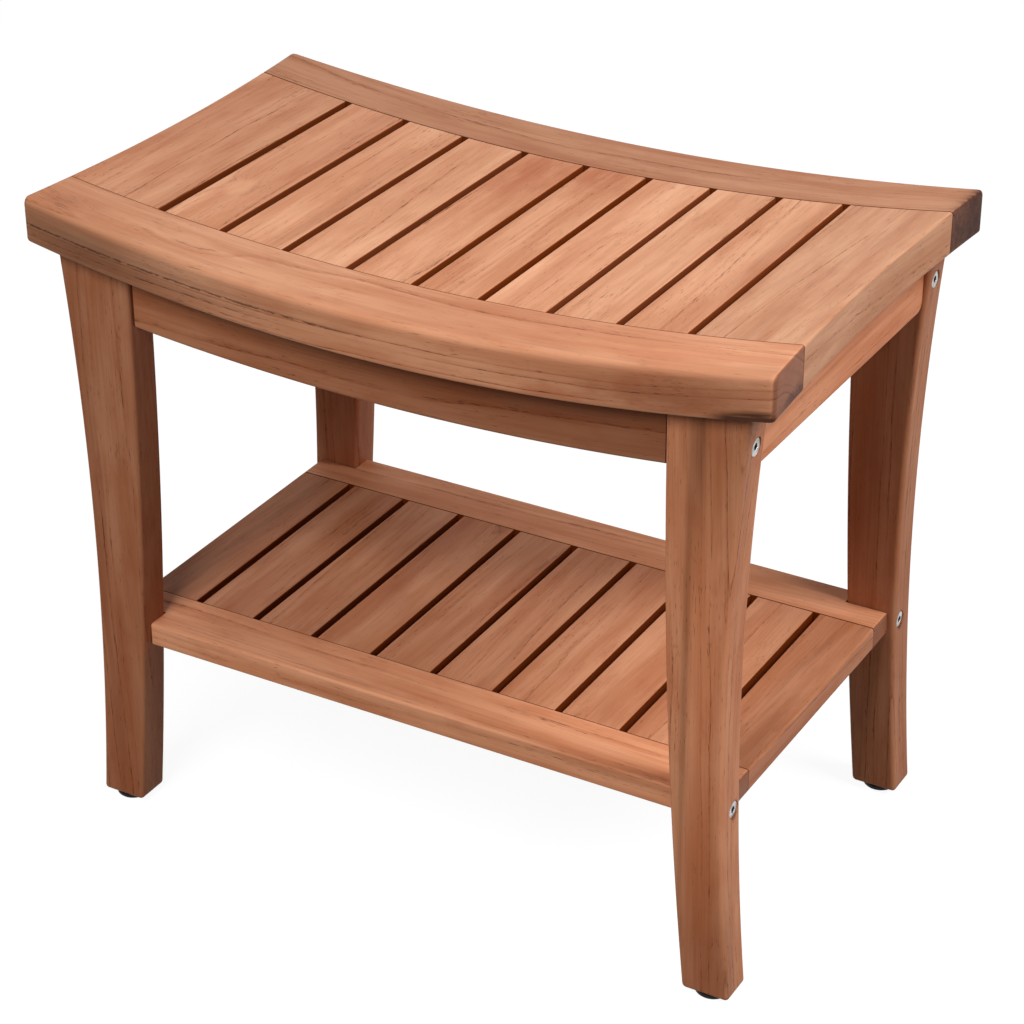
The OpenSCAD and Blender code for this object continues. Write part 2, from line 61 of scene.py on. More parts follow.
SEAT_R = 1690 * MM            # radius of the curve that lifts both ends of the seat
RAIL_T = 30 * MM              # thickness of the long rails and the end boards
RAIL_BOW = 8 * MM             # how far the long edges bow out
END_HOLLOW = 8 * MM           # how far the ends are hollowed in plan
CORNER_R = 4 * MM             # the seat's corners in plan
SLAT_W = 42.6 * MM
SLAT_GAP = 5 * MM
SLAT_T = 18 * MM
SLAT_COUNT = 8
END_BOARD_W = 66 * MM         # end board at its narrow middle
LEG_TOP_W = 53 * MM
LEG_WAIST_Z = 214 * MM
LEG_WAIST_INSET = 21 * MM
LEG_OUTER_R = 2200 * MM
LEG_INNER_R = 3900 * MM
APRON_H = 40 * MM
SIDE_CORNER_R = 6 * MM        # lower corners of the side aprons
GLUE_GAP = 0.1 * MM           # clearance where two boards are glued or bolted
SEAM_GAP = 0.02 * MM          # clearance between a seat rail and the boards that butt it

TOP_ROUND = 5 * MM            # soft round-over along the top of the seat's long edges
END_ARRIS = 2 * MM            # arris along the top of its ends
UNDER_ROUND = 2.4 * MM        # arris under the seat
SLAT_ARRIS = 1.1 * MM
LEG_ARRIS = 3.2 * MM
SMALL_ARRIS = 1.8 * MM        # aprons and shelf
SEAM_ARRIS = 0.7 * MM         # where a board butts another
LEAST_ROUND = 0.3 * MM        # what is left of an arris where an end's own arris takes it over
JOINT_SHADE = 1.8 * MM        # dark strip of dirt and painted shade on an apron, in the corner that it makes with a leg
JOINT_FADE = 0.8 * MM         # over which that strip grows dark
SUPPORT = 0.5 * MM            # flat strip kept beside each arris, so that faces shade flat
NOTCH_STRIP = 2 * MM          # the same on both sides of a shelf rail's notch
UNDER_WEAR_AND_HIGHLIGHT = 2.6              # how pale the seat rails' lower outer arris is, next to others: partly wear, partly a painted highlight

HEAD_D = 12 * MM              # countersunk bolt head
SHANK_D = 6 * MM
SOCKET_W = 4 * MM
SOCKET_H = 2.4 * MM
NUT_D = 10 * MM
NUT_REACH = 30 * MM           # from the end of an apron or a shelf rail to its nut
APRON_NUT_DEPTH = 17 * MM     # of the hole for the nut
SHELF_NUT_DEPTH = 15 * MM
BOLT_TIP = 3 * MM             # how far a bolt comes out behind its nut
NUT_PLAY = 0.1 * MM           # clearance round a nut
BOLT_PLAY = 0.2 * MM          # clearance round a bolt's head and shank
CUT_START = 2 * MM            # how far outside a face a hole's cutter starts
MOUTH_START = 8 * MM          # the same on a leg's hollow outer edge
SHANK_HOLE = 90 * MM          # long enough to pass through a leg

ARC_STEPS = 6                 # faces round one arris
ROUND_STEPS = 48              # corners round a turned piece
TURN = np.linspace(0, 2 * np.pi, ROUND_STEPS, endpoint=False)  # their directions
CAP_SHRINK = (0.75, 0.5, 0.25)  # outlines that close a board's end, as shares of the first
SHARP_ANGLE = np.radians(40)


def span(node):
    """Lowest and highest corner of a CAD node, as arrays."""
    low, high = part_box(node)
    return np.array(low), np.array(high)


rail_low, rail_high = span("seat_rear_rail")
leg_low, leg_high = span("leg_rear_right")
apron_low, apron_high = span("rear_apron")
side_low, side_high = span("side_apron_right")
shelf_low, shelf_high = span("shelf_rear_rail")

half_depth = rail_high[1]
seam_y = rail_low[1]
seat_mid_z = rail_low[2] + RAIL_T
curve_z = seat_mid_z + SEAT_R
pitch = SLAT_W + SLAT_GAP
slat_field = SLAT_COUNT * pitch / 2 + SLAT_GAP / 2
half_len = slat_field + END_BOARD_W
bow_r = (half_len ** 2 + RAIL_BOW ** 2) / (2 * RAIL_BOW)
end_r = (half_depth ** 2 + END_HOLLOW ** 2) / (2 * END_HOLLOW)
leg_waist_x = half_len - LEG_WAIST_INSET
leg_top_z = seat_mid_z - RAIL_T


# ---- the bench's curves ----

def seat_z(x, depth=0.0):
    """Height at x of the arc that lies depth below the seat's top: axis height less sqrt(r^2 - x^2)."""
    return curve_z - np.sqrt((SEAT_R + depth) ** 2 - x ** 2)


def bow_y(x):
    """Plan of a long edge: an arc that is RAIL_BOW further out at the middle than at the ends."""
    return half_depth - bow_r + np.sqrt(bow_r ** 2 - x ** 2)


def hollow_x(y):
    """Plan of the seat's end: an arc that is END_HOLLOW further in at the middle than at the corners."""
    return half_len + end_r - np.sqrt(end_r ** 2 - y ** 2)


def leg_outer_x(z):
    """Outer edge of a leg: an arc nearest the middle of the bench at the waist."""
    return leg_waist_x + LEG_OUTER_R - np.sqrt(LEG_OUTER_R ** 2 - (z - LEG_WAIST_Z) ** 2)


def leg_inner_x(z):
    """Inner edge of a leg: an arc that is plumb at the top and leans out to the foot."""
    top_x = leg_outer_x(leg_top_z) - LEG_TOP_W
    return top_x + LEG_INNER_R - np.sqrt(LEG_INNER_R ** 2 - (leg_top_z - z) ** 2)


def eased(distance, radius):
    """Inset of a round arris at a distance from the end: r - sqrt(r^2 - (r - d)^2), and 0 beyond r."""
    left = radius - np.clip(distance, 0, radius)
    return radius - np.sqrt(radius ** 2 - left ** 2)


# ---- meshes ----

def coordinates(mesh):
    """The mesh's vertices as an array (vertices, 3)."""
    points = np.empty(len(mesh.vertices) * 3)
    mesh.vertices.foreach_get("co", points)
    return points.reshape(-1, 3)


def store(mesh, **arrays):
    """Keeps numbers or vectors, one for each vertex, as attributes that a material reads."""
    for label, values in arrays.items():
        kind, field = ("FLOAT", "value") if values.ndim == 1 else ("FLOAT_VECTOR", "vector")
        made = mesh.attributes.new(label, kind, "POINT")
        made.data.foreach_set(field, values.reshape(-1).astype(np.float32))


def smoothed(mesh):
    """Smooth shading that stops at sharp edges."""
    mesh.shade_smooth()
    mesh.set_sharp_from_angle(angle=SHARP_ANGLE)


def columns(*values):
    """The values side by side, one row for each station. A plain number is repeated."""
    return np.stack(np.broadcast_arrays(*values), -1)


def run(low, high, reach, middle):
    """Stations from low to high, close together within reach of both ends, as a round arris needs them."""
    near = reach * (1 - np.cos(np.linspace(0, np.pi / 2, 9)))
    inner = np.linspace(low + reach + SUPPORT, high - reach - SUPPORT, middle)
    return np.r_[low + near, inner, (high - near)[::-1]]


def tapered(reach, radius, middle):
    """Stations from -reach to reach, and how far a round arris at both ends draws each of them in."""
    stations = run(-reach, reach, radius, middle)
    return stations, eased(reach - np.abs(stations), radius)


def rounded_outline(low, high, radii, flat_steps, edge_wear_and_highlight):
    """Outline of a rectangle with round corners, for all stations at once.

    low and high are (stations, 2), radii is (stations, 4) in the order low-low, high-low,
    high-high, low-high. Each corner is a quarter circle about a point that lies one radius in
    from both sides, and the sides are straight between them, with a short strip beside each
    corner. Returns points (stations, n, 2) and marks (stations, n), which go from 0 on the sides to
    the corner's wear at the middle of an open arris, which the teak paints pale as rubbing and a
    painted highlight, and to -1 at that of a seam, which it paints dark as dirt and painted shade.
    """
    corners = ((0, 0, np.pi), (1, 0, 1.5 * np.pi), (1, 1, 0.0), (0, 1, 0.5 * np.pi))
    bounds = np.stack([low, high])
    arcs = []
    for number, (side_a, side_b, start) in enumerate(corners):
        radius = radii[:, number, None]
        angle = np.linspace(start, start + np.pi / 2, ARC_STEPS + 1)[None]
        centre_a = bounds[side_a, :, 0, None] + radius * (1 - 2 * side_a)
        centre_b = bounds[side_b, :, 1, None] + radius * (1 - 2 * side_b)
        arcs.append(np.stack([centre_a + radius * np.cos(angle), centre_b + radius * np.sin(angle)], -1))
    parts, marks = [], []
    bulge = np.sin(np.linspace(0, np.pi, ARC_STEPS + 1))
    for number, arc in enumerate(arcs):
        start, end = arc[:, -1:], arcs[(number + 1) % 4][:, :1]
        length = np.linalg.norm(end - start, axis=-1, keepdims=True)
        strip = np.minimum(SUPPORT / np.maximum(length, SUPPORT), 0.25)
        share = strip + (1 - 2 * strip) * np.linspace(0, 1, flat_steps[number % 2])[None, :, None]
        parts += [arc, start + (end - start) * share]
        is_open = radii[:, number, None] > 1.01 * SEAM_ARRIS  # one as small as a seam's is a seam
        kind = np.where(is_open, edge_wear_and_highlight[number], -1.0)
        marks += [kind * bulge, np.zeros((len(radii), share.shape[1]))]
    return np.concatenate(parts, 1), np.concatenate(marks, 1)


def closed_loft(name, points, marks):
    """Mesh through rings of points (rings, n, 3), closed by one face at either end, facing outwards."""
    rings, count = points.shape[:2]
    here = np.arange(count)
    ahead = (here + 1) % count
    base = (np.arange(rings - 1) * count)[:, None]
    quads = np.stack([base + here, base + ahead, base + count + ahead, base + count + here], -1)
    quads = quads.reshape(-1, 4)
    faces = quads.tolist() + [here[::-1].tolist(), ((rings - 1) * count + here).tolist()]
    flat = points.reshape(-1, 3)
    corner = flat[quads]
    volume = np.einsum("ij,ij->i", corner[:, 0], np.cross(corner[:, 1], corner[:, 2])).sum()
    volume += np.einsum("ij,ij->i", corner[:, 0], np.cross(corner[:, 2], corner[:, 3])).sum()
    if volume < 0:
        faces = [face[::-1] for face in faces]
    mesh = bpy.data.meshes.new(name)
    mesh.from_pydata(flat.tolist(), [], faces)
    store(mesh, arris=marks.reshape(-1))
    smoothed(mesh)
    mesh.update()
    return mesh


def board(name, stations, low, high, radii, place, flat_steps=(4, 4), seam=None, edge_wear_and_highlight=(1, 1, 1, 1)):
    """A board: a rounded outline at each station, put in its place by place(station, a, b).

    Both ends are closed by the same outline drawn in towards its middle in steps, so that an end
    that isn't flat keeps its shape. radii is one radius, four, or as many for each station. seam is
    how deep each station lies in an end's seam, 0 to 1, where the teak paints dirt and painted shade.
    """
    radii = np.broadcast_to(radii, (len(stations), 4))
    outline, marks = rounded_outline(low, high, radii, flat_steps, edge_wear_and_highlight)
    if seam is not None:
        marks = np.minimum(marks, -seam[:, None])
    middle = outline.mean(1, keepdims=True)
    shrink = np.array(CAP_SHRINK)[:, None, None]
    first = middle[:1] + (outline[:1] - middle[:1]) * shrink
    last = middle[-1:] + (outline[-1:] - middle[-1:]) * shrink
    outline = np.concatenate([first[::-1], outline, last])
    none = np.zeros((len(CAP_SHRINK), outline.shape[1]))
    marks = np.concatenate([none, marks, none])
    along = np.r_[np.full(len(CAP_SHRINK), stations[0]), stations, np.full(len(CAP_SHRINK), stations[-1])]
    x, y, z = np.broadcast_arrays(*place(along[:, None], outline[..., 0], outline[..., 1]))
    return closed_loft(name, np.stack([x, y, z], -1), marks)


def lathe(name, rings):
    """A turned or milled shape along +Z, from rings of (height, radius), radius a number or an array."""
    points = np.stack([columns(radius * np.cos(TURN), radius * np.sin(TURN), height)
                       for height, radius in rings])
    return closed_loft(name, points, np.zeros(points.shape[:2]))


def hexagon(width):
    """Radius of a hexagon, width across its flats, at each step round: half its width over the cosine
    of the angle to the nearest flat's middle."""
    return width / 2 / np.cos((TURN + np.pi / 6) % (np.pi / 3) - np.pi / 6)


def turned(mesh, axis, place):
    """Moves a lathe mesh so that its +Z points along axis, from place. Keeps the faces outwards."""
    points = coordinates(mesh)
    axis = np.array(axis, float)
    side = np.array([0.0, 1.0, 0.0]) if abs(axis[1]) < 0.5 else np.array([1.0, 0.0, 0.0])
    other = np.cross(axis, side)
    points = points[:, :1] * side + points[:, 1:2] * other + points[:, 2:] * axis + np.array(place)
    mesh.vertices.foreach_set("co", points.reshape(-1))
    if np.dot(np.cross(side, other), axis) < 0:
        mesh.flip_normals()
    mesh.update()
    return mesh


def joined(name, meshes):
    """One mesh from several, each a closed body."""
    points, faces, total = [], [], 0
    for mesh in meshes:
        points.append(coordinates(mesh))
        faces += [[total + corner for corner in face.vertices] for face in mesh.polygons]
        total += len(mesh.vertices)
    whole = bpy.data.meshes.new(name)
    whole.from_pydata(np.concatenate(points).tolist(), [], faces)
    smoothed(whole)
    return whole


def placed(name, data):
    """An object at the origin that holds a mesh, a lamp or a camera."""
    obj = bpy.data.objects.new(name, data)
    bpy.context.scene.collection.objects.link(obj)
    return obj


def drilled(name, mesh, cutters):
    """The mesh less its cutters, as a new object: an exact Boolean, applied."""
    obj = placed(name, mesh)
    tools = [placed(f"{name}_cutter_{number}", cutter) for number, cutter in enumerate(cutters)]
    for tool in tools:
        cut = obj.modifiers.new("drill", "BOOLEAN")
        cut.operation = "DIFFERENCE"
        cut.solver = "EXACT"
        cut.object = tool
    bpy.context.view_layer.update()
    ready = obj.evaluated_get(bpy.context.evaluated_depsgraph_get())
    result = bpy.data.meshes.new_from_object(ready)
    obj.modifiers.clear()
    obj.data = result
    smoothed(result)
    for tool in tools:
        bpy.data.objects.remove(tool)
    return obj


# ---- how each board was sawn from its log ----

GRAIN_AXES = {"x": (0, 1, 2), "y": (1, 0, 2), "z": (2, 0, 1)}
SPLIT_FADE = 40 * MM          # over which a split dies out at its ends
SPLIT_SWAY = 3 * MM           # how far it strays from its line
SPLIT_EDGE = (0.2 * MM, 1.0 * MM)  # half its width, where it is full and where it ends


def near(points, place, reach):
    """Closeness to a place: 1 there, falling off as a Gaussian with its own reach along each axis."""
    return np.exp(-(((points - np.array(place)) / np.array(reach)) ** 2).sum(-1))


def saw(obj, axis, seed, tone, pith=(0.05, 0.05), tilt=(0.012, 0.018), follow=0.0, slope=0.0,
        shades=(), knots=(), stains=(), blushes=(), split=None, hidden=()):
    """Gives a board its place in a log, as attributes that the teak reads.

    log: along the grain, and the two distances from the pith, in metres. The pith runs past the
    board's middle at pith = (sideways, down), leaning by tilt, and follow bends it with the seat.
    tone: lightness, redness and strength of figure; slope adds painted light and shade along the grain,
    from -slope at one end to slope at the other, and each of shades adds its own amount near a place,
    some for darker figure and end grain, some as painted light and shade.
    ends: 1 on end grain, 0 on long grain. knot, stain and blush: how near the closest of their
    places is, on the straightened board. split: height over a dark line along x, given by its
    height at x = 0, its climb and the two ends of its run, and how strong it is here.
    hidden: 1 on the narrow sides that face the directions in hidden, which the teak paints darker as
    painted shade in the gaps.
    """
    mesh = obj.data
    count = len(mesh.vertices)
    points = coordinates(mesh)
    normals = np.empty(count * 3)
    mesh.vertex_normals.foreach_get("vector", normals)
    normals = normals.reshape(-1, 3)
    middle = (points.min(0) + points.max(0)) / 2
    straight = points.copy()
    straight[:, 2] -= follow * (seat_z(points[:, 0]) - seat_mid_z)
    local = straight - middle
    first, second, third = GRAIN_AXES[axis]
    rng = np.random.default_rng(seed)
    shift = rng.uniform(0, 10)
    along = local[:, first]
    lean = rng.choice([-1, 1], 2) * np.array(tilt)
    log = np.stack([along + shift, local[:, second] - pith[0] + lean[0] * along,
                    local[:, third] + pith[1] + lean[1] * along], -1)
    shade = np.tile(np.array(tone, float), (count, 1))
    shade[:, 0] += slope * along / (np.abs(along).max())
    for place, reach, amount in shades:
        shade[:, 0] += amount * near(straight, place, reach)
    spots = [np.max([np.zeros(count)] + [near(straight, *spot) for spot in group], axis=0)
             for group in (knots, stains, blushes)]
    crack = np.tile(np.array([1.0, 0.0, 0.0]), (count, 1))
    if split is not None:
        height, climb, start, stop = split
        crack[:, 0] = straight[:, 2] - height - climb * straight[:, 0]
        crack[:, 1] = np.clip(np.minimum(straight[:, 0] - start, stop - straight[:, 0]) / SPLIT_FADE, 0, 1)
    # Painted shade on the narrow sides that face into the gaps between boards.
    gap_shade_share = np.zeros(count)
    for direction in hidden:
        gap_shade_share = np.maximum(gap_shade_share, normals @ np.array(direction, float))
    store(mesh, log=log, tone=shade, ends=np.abs(normals[:, first]), knot=spots[0], stain=spots[1],
          blush=spots[2], split=crack, hidden=gap_shade_share)


# ---- materials ----

def linear(red, green, blue):
    """A colour written as 0 to 255 for a screen, as linear light: a power curve of 2.4 with its offset."""
    shown = np.array([red, green, blue]) / 255
    light = np.where(shown <= 0.04045, shown / 12.92, ((shown + 0.055) / 1.055) ** 2.4)
    return (*light.tolist(), 1.0)


def grey(level):
    return (level, level, level, 1.0)


class Nodes:
    """A node tree and short ways to wire it."""

    MIX_INPUTS = (0, 6, 7)    # the share and the two colours of a mix
    MIX_OUTPUT = 2            # its colour

    def __init__(self, tree):
        self.tree = tree

    def node(self, kind, settings=None, **inputs):
        """A node with its settings, and each input set or linked by its name, with _ for a space."""
        made = self.tree.nodes.new(kind)
        for label, value in (settings or {}).items():
            setattr(made, label, value)
        for label, value in inputs.items():
            self.give(made.inputs[label.replace("_", " ")], value)
        return made

    def give(self, socket, value):
        if isinstance(value, bpy.types.NodeSocket):
            self.tree.links.new(value, socket)
        else:
            socket.default_value = value

    def fed(self, made, *values):
        """The node, with its inputs set or linked in their order."""
        for socket, value in zip(made.inputs, values):
            self.give(socket, value)
        return made

    def attribute(self, name, output="Fac"):
        return self.node("ShaderNodeAttribute", {"attribute_name": name}).outputs[output]

    def place(self):
        return self.node("ShaderNodeTexCoord").outputs["Object"]

    def math(self, operation, *values, clamp=False):
        made = self.node("ShaderNodeMath", {"operation": operation, "use_clamp": clamp})
        return self.fed(made, *values).outputs[0]

    def times(self, first, *others):
        for other in others:
            first = self.math("MULTIPLY", first, other)
        return first

    def plus(self, first, *others):
        for other in others:
            first = self.math("ADD", first, other)
        return first

    def minus(self, first, other):
        return self.math("SUBTRACT", first, other)

    def vector(self, operation, *values):
        made = self.fed(self.node("ShaderNodeVectorMath", {"operation": operation}), *values)
        return made.outputs["Value" if operation == "LENGTH" else "Vector"]

    def noise(self, vector, scale, detail=2.0, roughness=0.5, output="Fac"):
        return self.node("ShaderNodeTexNoise", Vector=vector, Scale=scale, Detail=detail,
                         Roughness=roughness).outputs[output]

    def parts(self, vector):
        return self.node("ShaderNodeSeparateXYZ", Vector=vector).outputs

    def stretched(self, vector, scales, detail=2.0, roughness=0.5, output="Fac"):
        """Noise with a scale of its own along each axis."""
        return self.noise(self.vector("MULTIPLY", vector, scales), 1.0, detail, roughness, output)

    def band(self, value, low, high, to_low=0.0, to_high=1.0):
        """A smooth step from to_low to to_high while value goes from low to high."""
        return self.node("ShaderNodeMapRange", {"interpolation_type": "SMOOTHSTEP"}, Value=value,
                         From_Min=low, From_Max=high, To_Min=to_low, To_Max=to_high).outputs[0]

    def mix(self, share, first, second):
        made = self.node("ShaderNodeMix", {"data_type": "RGBA"})
        for number, value in zip(self.MIX_INPUTS, (share, first, second)):
            self.give(made.inputs[number], value)
        return made.outputs[self.MIX_OUTPUT]

    def layered(self, colour, *layers):
        """The colour under layers, each given as its share and its own colour, the last on top."""
        for share, over in layers:
            colour = self.mix(share, colour, over)
        return colour

    def bump(self, height, distance, strength, **under):
        return self.node("ShaderNodeBump", Height=height, Distance=distance, Strength=strength,
                         **under).outputs[0]

    def seen_as(self, shown, otherwise):
        """The shader shown where the camera or a reflection looks straight at it, or else the other."""
        path = self.node("ShaderNodeLightPath")
        seen = self.math("MAXIMUM", path.outputs["Is Camera Ray"], path.outputs["Is Glossy Ray"])
        return self.fed(self.node("ShaderNodeMixShader"), seen, otherwise, shown).outputs[0]


class Finish(Nodes):
    """A new material, with the constants of its surface."""

    def __init__(self, name, **surface):
        self.material = bpy.data.materials.new(name)
        self.material.use_nodes = True
        super().__init__(self.material.node_tree)
        self.shader = self.tree.nodes["Principled BSDF"]
        for label, value in surface.items():
            self.shader.inputs[label.replace("_", " ")].default_value = value

    def finish(self, colour=None, roughness=None, normal=None):
        for label, value in (("Base Color", colour), ("Roughness", roughness), ("Normal", normal)):
            if value is not None:
                self.give(self.shader.inputs[label], value)
        return self.material


def teak():
    """Oiled teak, cut from a log.

    A ring's place is its distance from the pith over the ring spacing, which varies slowly. Each
    ring starts with a thin dark line of its own strength, which fades outwards and comes and goes
    along the grain. Short dark pores crowd on those lines. Over this lie a fine fibre, slow changes
    of colour, the board's own marks, open arrises made pale by wear and a painted highlight, dark end
    grain, seams darkened by dirt and painted shade, and painted shade on the sides of the gaps.
    """
    wood = Finish("teak", IOR=1.45, Specular_IOR_Level=0.12)
    band, times, plus, minus, node = wood.band, wood.times, wood.plus, wood.minus, wood.node
    log = wood.attribute("log", "Vector")
    lightness, redness, figure = wood.parts(wood.attribute("tone", "Vector"))
    knot, stain, arris = [wood.attribute(label) for label in ("knot", "stain", "arris")]
    ends = band(wood.attribute("ends"), 0.35, 0.80)

    def grain(along, across, *shape, **output):
        """Noise with one scale along the grain and another across it."""
        return wood.stretched(log, (along, across, across), *shape, **output)

    # The rings.
    wave = grain(6.0, 20.0, output="Color")
    sway = wood.vector("MULTIPLY", wood.vector("SUBTRACT", wave, (0.5, 0.5, 0.5)), (0.0, 0.009, 0.009))
    across = wood.vector("MULTIPLY", wood.vector("ADD", log, sway), (0.0, 1.0, 1.0))
    radius = plus(wood.vector("LENGTH", across), times(knot, 0.012))
    along = wood.parts(log)[0]
    crowding = node("ShaderNodeTexNoise", {"noise_dimensions": "1D"}, W=radius, Scale=70.0, Detail=1.0)
    ring = plus(times(radius, 330.0), times(crowding.outputs["Fac"], 3.0))
    number = wood.math("FLOOR", ring)
    phase = wood.math("FRACT", ring)
    strength = node("ShaderNodeTexWhiteNoise", {"noise_dimensions": "1D"}, W=number).outputs["Value"]
    drift = node("ShaderNodeCombineXYZ", X=times(along, 9.0), Y=times(number, 3.7))
    fade = band(wood.noise(drift.outputs[0], 1.0), 0.32, 0.62, 0.15, 1.0)
    rise = band(phase, 0.0, 0.10)
    line = times(rise, band(phase, 0.10, 0.75, 1.0, 0.0), fade, band(strength, 0.15, 1.0, 0.12, 1.0))
    vein = times(rise, band(phase, 0.10, 0.32, 1.0, 0.0), fade, band(strength, 0.72, 0.90))

    # Fibre and pores, drawn out along the grain.
    fibre = grain(14.0, 1000.0, 3.0, 0.65)
    streak = grain(3.5, 240.0, 2.0, 0.6)
    pore_spots = grain(120.0, 1900.0, 1.0)
    patch = grain(14.0, 45.0, 1.0)
    crowd = plus(times(line, 0.16), times(vein, 0.10), band(patch, 0.50, 0.70, 0.0, 0.07))
    pores = times(band(plus(pore_spots, crowd), 0.71, 0.82), minus(1.0, ends))

    # Slow changes of colour over a board.
    mottle = grain(7.0, 60.0, 2.0, 0.55)
    cloud = grain(22.0, 55.0, 3.0, 0.6)
    warm = grain(2.5, 22.0, 1.0)
    belt = node("ShaderNodeCombineXYZ", X=times(along, 2.2), Y=times(radius, 75.0))
    heart = node("ShaderNodeTexNoise", {"noise_dimensions": "2D"}, Vector=belt.outputs[0], Scale=1.0,
                 Detail=2.0, Roughness=0.5).outputs["Fac"]

    # The board's own marks: a ragged split, a collar round each knot, arrises made pale by wear and a
    # painted highlight, and a stain.
    ragged = grain(170.0, 500.0, 3.0, 0.6)
    rough = minus(ragged, 0.5)
    above, strong, _ = wood.parts(wood.attribute("split", "Vector"))
    off = wood.math("ABSOLUTE", plus(above, times(rough, SPLIT_SWAY)))
    dash = times(band(off, *SPLIT_EDGE, 1.0, 0.0), band(ragged, 0.36, 0.56, 0.25, 1.0), strong)
    swirl = plus(knot, times(rough, 0.30))
    collar = times(band(swirl, 0.30, 0.42), band(swirl, 0.42, 0.54, 1.0, 0.0))
    # Open arrises paled partly by wear and partly by a painted highlight.
    wear_and_painted_highlight = wood.math("MULTIPLY", arris, band(streak, 0.35, 0.65, 0.12, 0.40), clamp=True)
    stained = times(stain, band(streak, 0.38, 0.60, 0.55, 1.0))

    # End grain: dry or soaked wood, with dark fibres and black rings.
    dry, dark, black = linear(122, 80, 62), linear(120, 66, 42), linear(58, 30, 20)
    speckle = grain(400.0, 900.0)
    soaked = plus(stain, band(cloud, 0.35, 0.65, -0.15, 0.15))
    rings = wood.math("MULTIPLY", plus(line, vein), 0.50, clamp=True)
    butt = wood.layered(dry, (band(speckle, 0.25, 0.75, 0.15, 0.85), dark), (rings, black),
                        (band(soaked, 0.10, 0.95, 0.0, 0.85), linear(66, 26, 14)))

    # All of it, from the bottom to the top.
    pale, mid, red = linear(228, 167, 129), linear(208, 143, 105), linear(182, 107, 71)
    # Seams darkened by dirt and painted shade, and the sides of the gaps between boards painted darker as
    # shade.
    seam_dirt_and_shade, gap_shade_colour = linear(72, 34, 16), linear(122, 55, 19)
    gap_shade_mask = band(wood.attribute("hidden"), 0.45, 0.90)
    colour = wood.layered(
        mid,
        (band(mottle, 0.32, 0.68), pale),
        (band(warm, 0.48, 0.72, 0.0, 0.40), red),
        (band(cloud, 0.46, 0.74, 0.0, 0.30), red),
        (band(streak, 0.46, 0.74, 0.0, 0.20), red),
        (times(band(heart, 0.60, 0.74), figure, 0.34), dark),
        (times(wood.attribute("blush"), band(cloud, 0.35, 0.60, 0.35, 0.85)), red),
        (times(line, figure, 0.62), red),
        (times(vein, figure, 0.58), dark),
        (band(fibre, 0.44, 0.78, 0.0, 0.20), dark),
        (times(dash, 0.75), black),
        (times(pores, 0.55), black),
        (band(knot, 0.45, 0.80, 0.0, 0.60), pale),
        (times(collar, band(cloud, 0.44, 0.60, 0.0, 0.45)), dark),
        (wear_and_painted_highlight, pale),
        (band(stained, 0.12, 0.55, 0.0, 0.92), black),
        (times(ends, 0.80), butt),
        (gap_shade_mask, gap_shade_colour),
        (band(arris, -0.60, -0.05, 0.90, 0.0), seam_dirt_and_shade))
    # Each board's own tone: lighter or darker, and redder or yellower, with the painted light and shade
    # from saw() in its lightness.
    own = node("ShaderNodeHueSaturation", Color=colour, Value=plus(1.0, lightness),
               Hue=minus(0.5, times(redness, 0.045)), Saturation=plus(1.0, times(redness, 0.7)))

    sheen = plus(band(fibre, 0.3, 0.7, 0.46, 0.56), times(pores, 0.2), times(gap_shade_mask, 0.4))
    relief = minus(minus(times(fibre, 0.30), pores), times(vein, 0.35))
    hand = wood.bump(grain(20.0, 60.0, 1.0), 0.4 * MM, 0.5)
    return wood.finish(own.outputs[0], sheen, wood.bump(relief, 0.12 * MM, 0.7, Normal=hand))


def beech():
    """Dowel beech: pale, with short brown flecks along the grain and fluted by a fine fibre."""
    wood = Finish("beech", IOR=1.45)
    place = wood.place()
    fleck = wood.stretched(place, (900.0, 900.0, 260.0))
    cloud = wood.noise(place, 40.0)
    colour = wood.layered(linear(222, 188, 146), (wood.band(cloud, 0.3, 0.7), linear(205, 166, 122)),
                          (wood.band(fleck, 0.62, 0.74, 0.0, 0.5), linear(150, 106, 70)))
    return wood.finish(colour, wood.band(fleck, 0.3, 0.7, 0.6, 0.75), wood.bump(fleck, 0.1 * MM, 0.4))


def metal(name, colour, worn_colour, rough, scratch_scale):
    """A turned metal part: a fine brushed scratch, a cloudy tarnish and a roughness that follows both,
    and painted shade in a bolt's socket."""
    steel = Finish(name, Metallic=1.0)
    place = steel.place()
    cloud = steel.noise(place, 260.0, 3.0)
    scratch = steel.stretched(place, scratch_scale, 2.0, 0.7)
    socket = steel.attribute("socket")
    # Near black in a bolt's socket: painted shade in the recess.
    tint = steel.layered(colour, (steel.band(cloud, 0.42, 0.72), worn_colour),
                         (steel.times(socket, 0.9), linear(28, 25, 23)))
    shine = steel.plus(steel.band(cloud, 0.3, 0.8, rough - 0.06, rough + 0.10), steel.times(scratch, 0.06),
                       steel.times(socket, 0.4))
    return steel.finish(tint, shine, steel.bump(scratch, 0.03 * MM, 0.35))


def black_plastic():
    """Moulded black plastic with a fine spark texture and a greyer scuff where it meets the floor."""
    pad = Finish("black_plastic", IOR=1.49, Specular_IOR_Level=0.2)
    place = pad.place()
    spark = pad.noise(place, 2600.0, 2.0, 0.6)
    scuff = pad.noise(place, 210.0, 4.0, 0.65)
    height = pad.parts(place)[2]
    low = pad.times(pad.band(height, 0.0, 1.6 * MM, 1.0, 0.0), pad.band(scuff, 0.45, 0.7))
    colour = pad.layered(linear(7, 7, 8), (pad.band(scuff, 0.3, 0.8), linear(14, 14, 14)),
                         (pad.times(low, 0.6), linear(30, 29, 28)))
    return pad.finish(colour, pad.band(spark, 0.3, 0.7, 0.42, 0.58), pad.bump(spark, 0.05 * MM, 0.5))


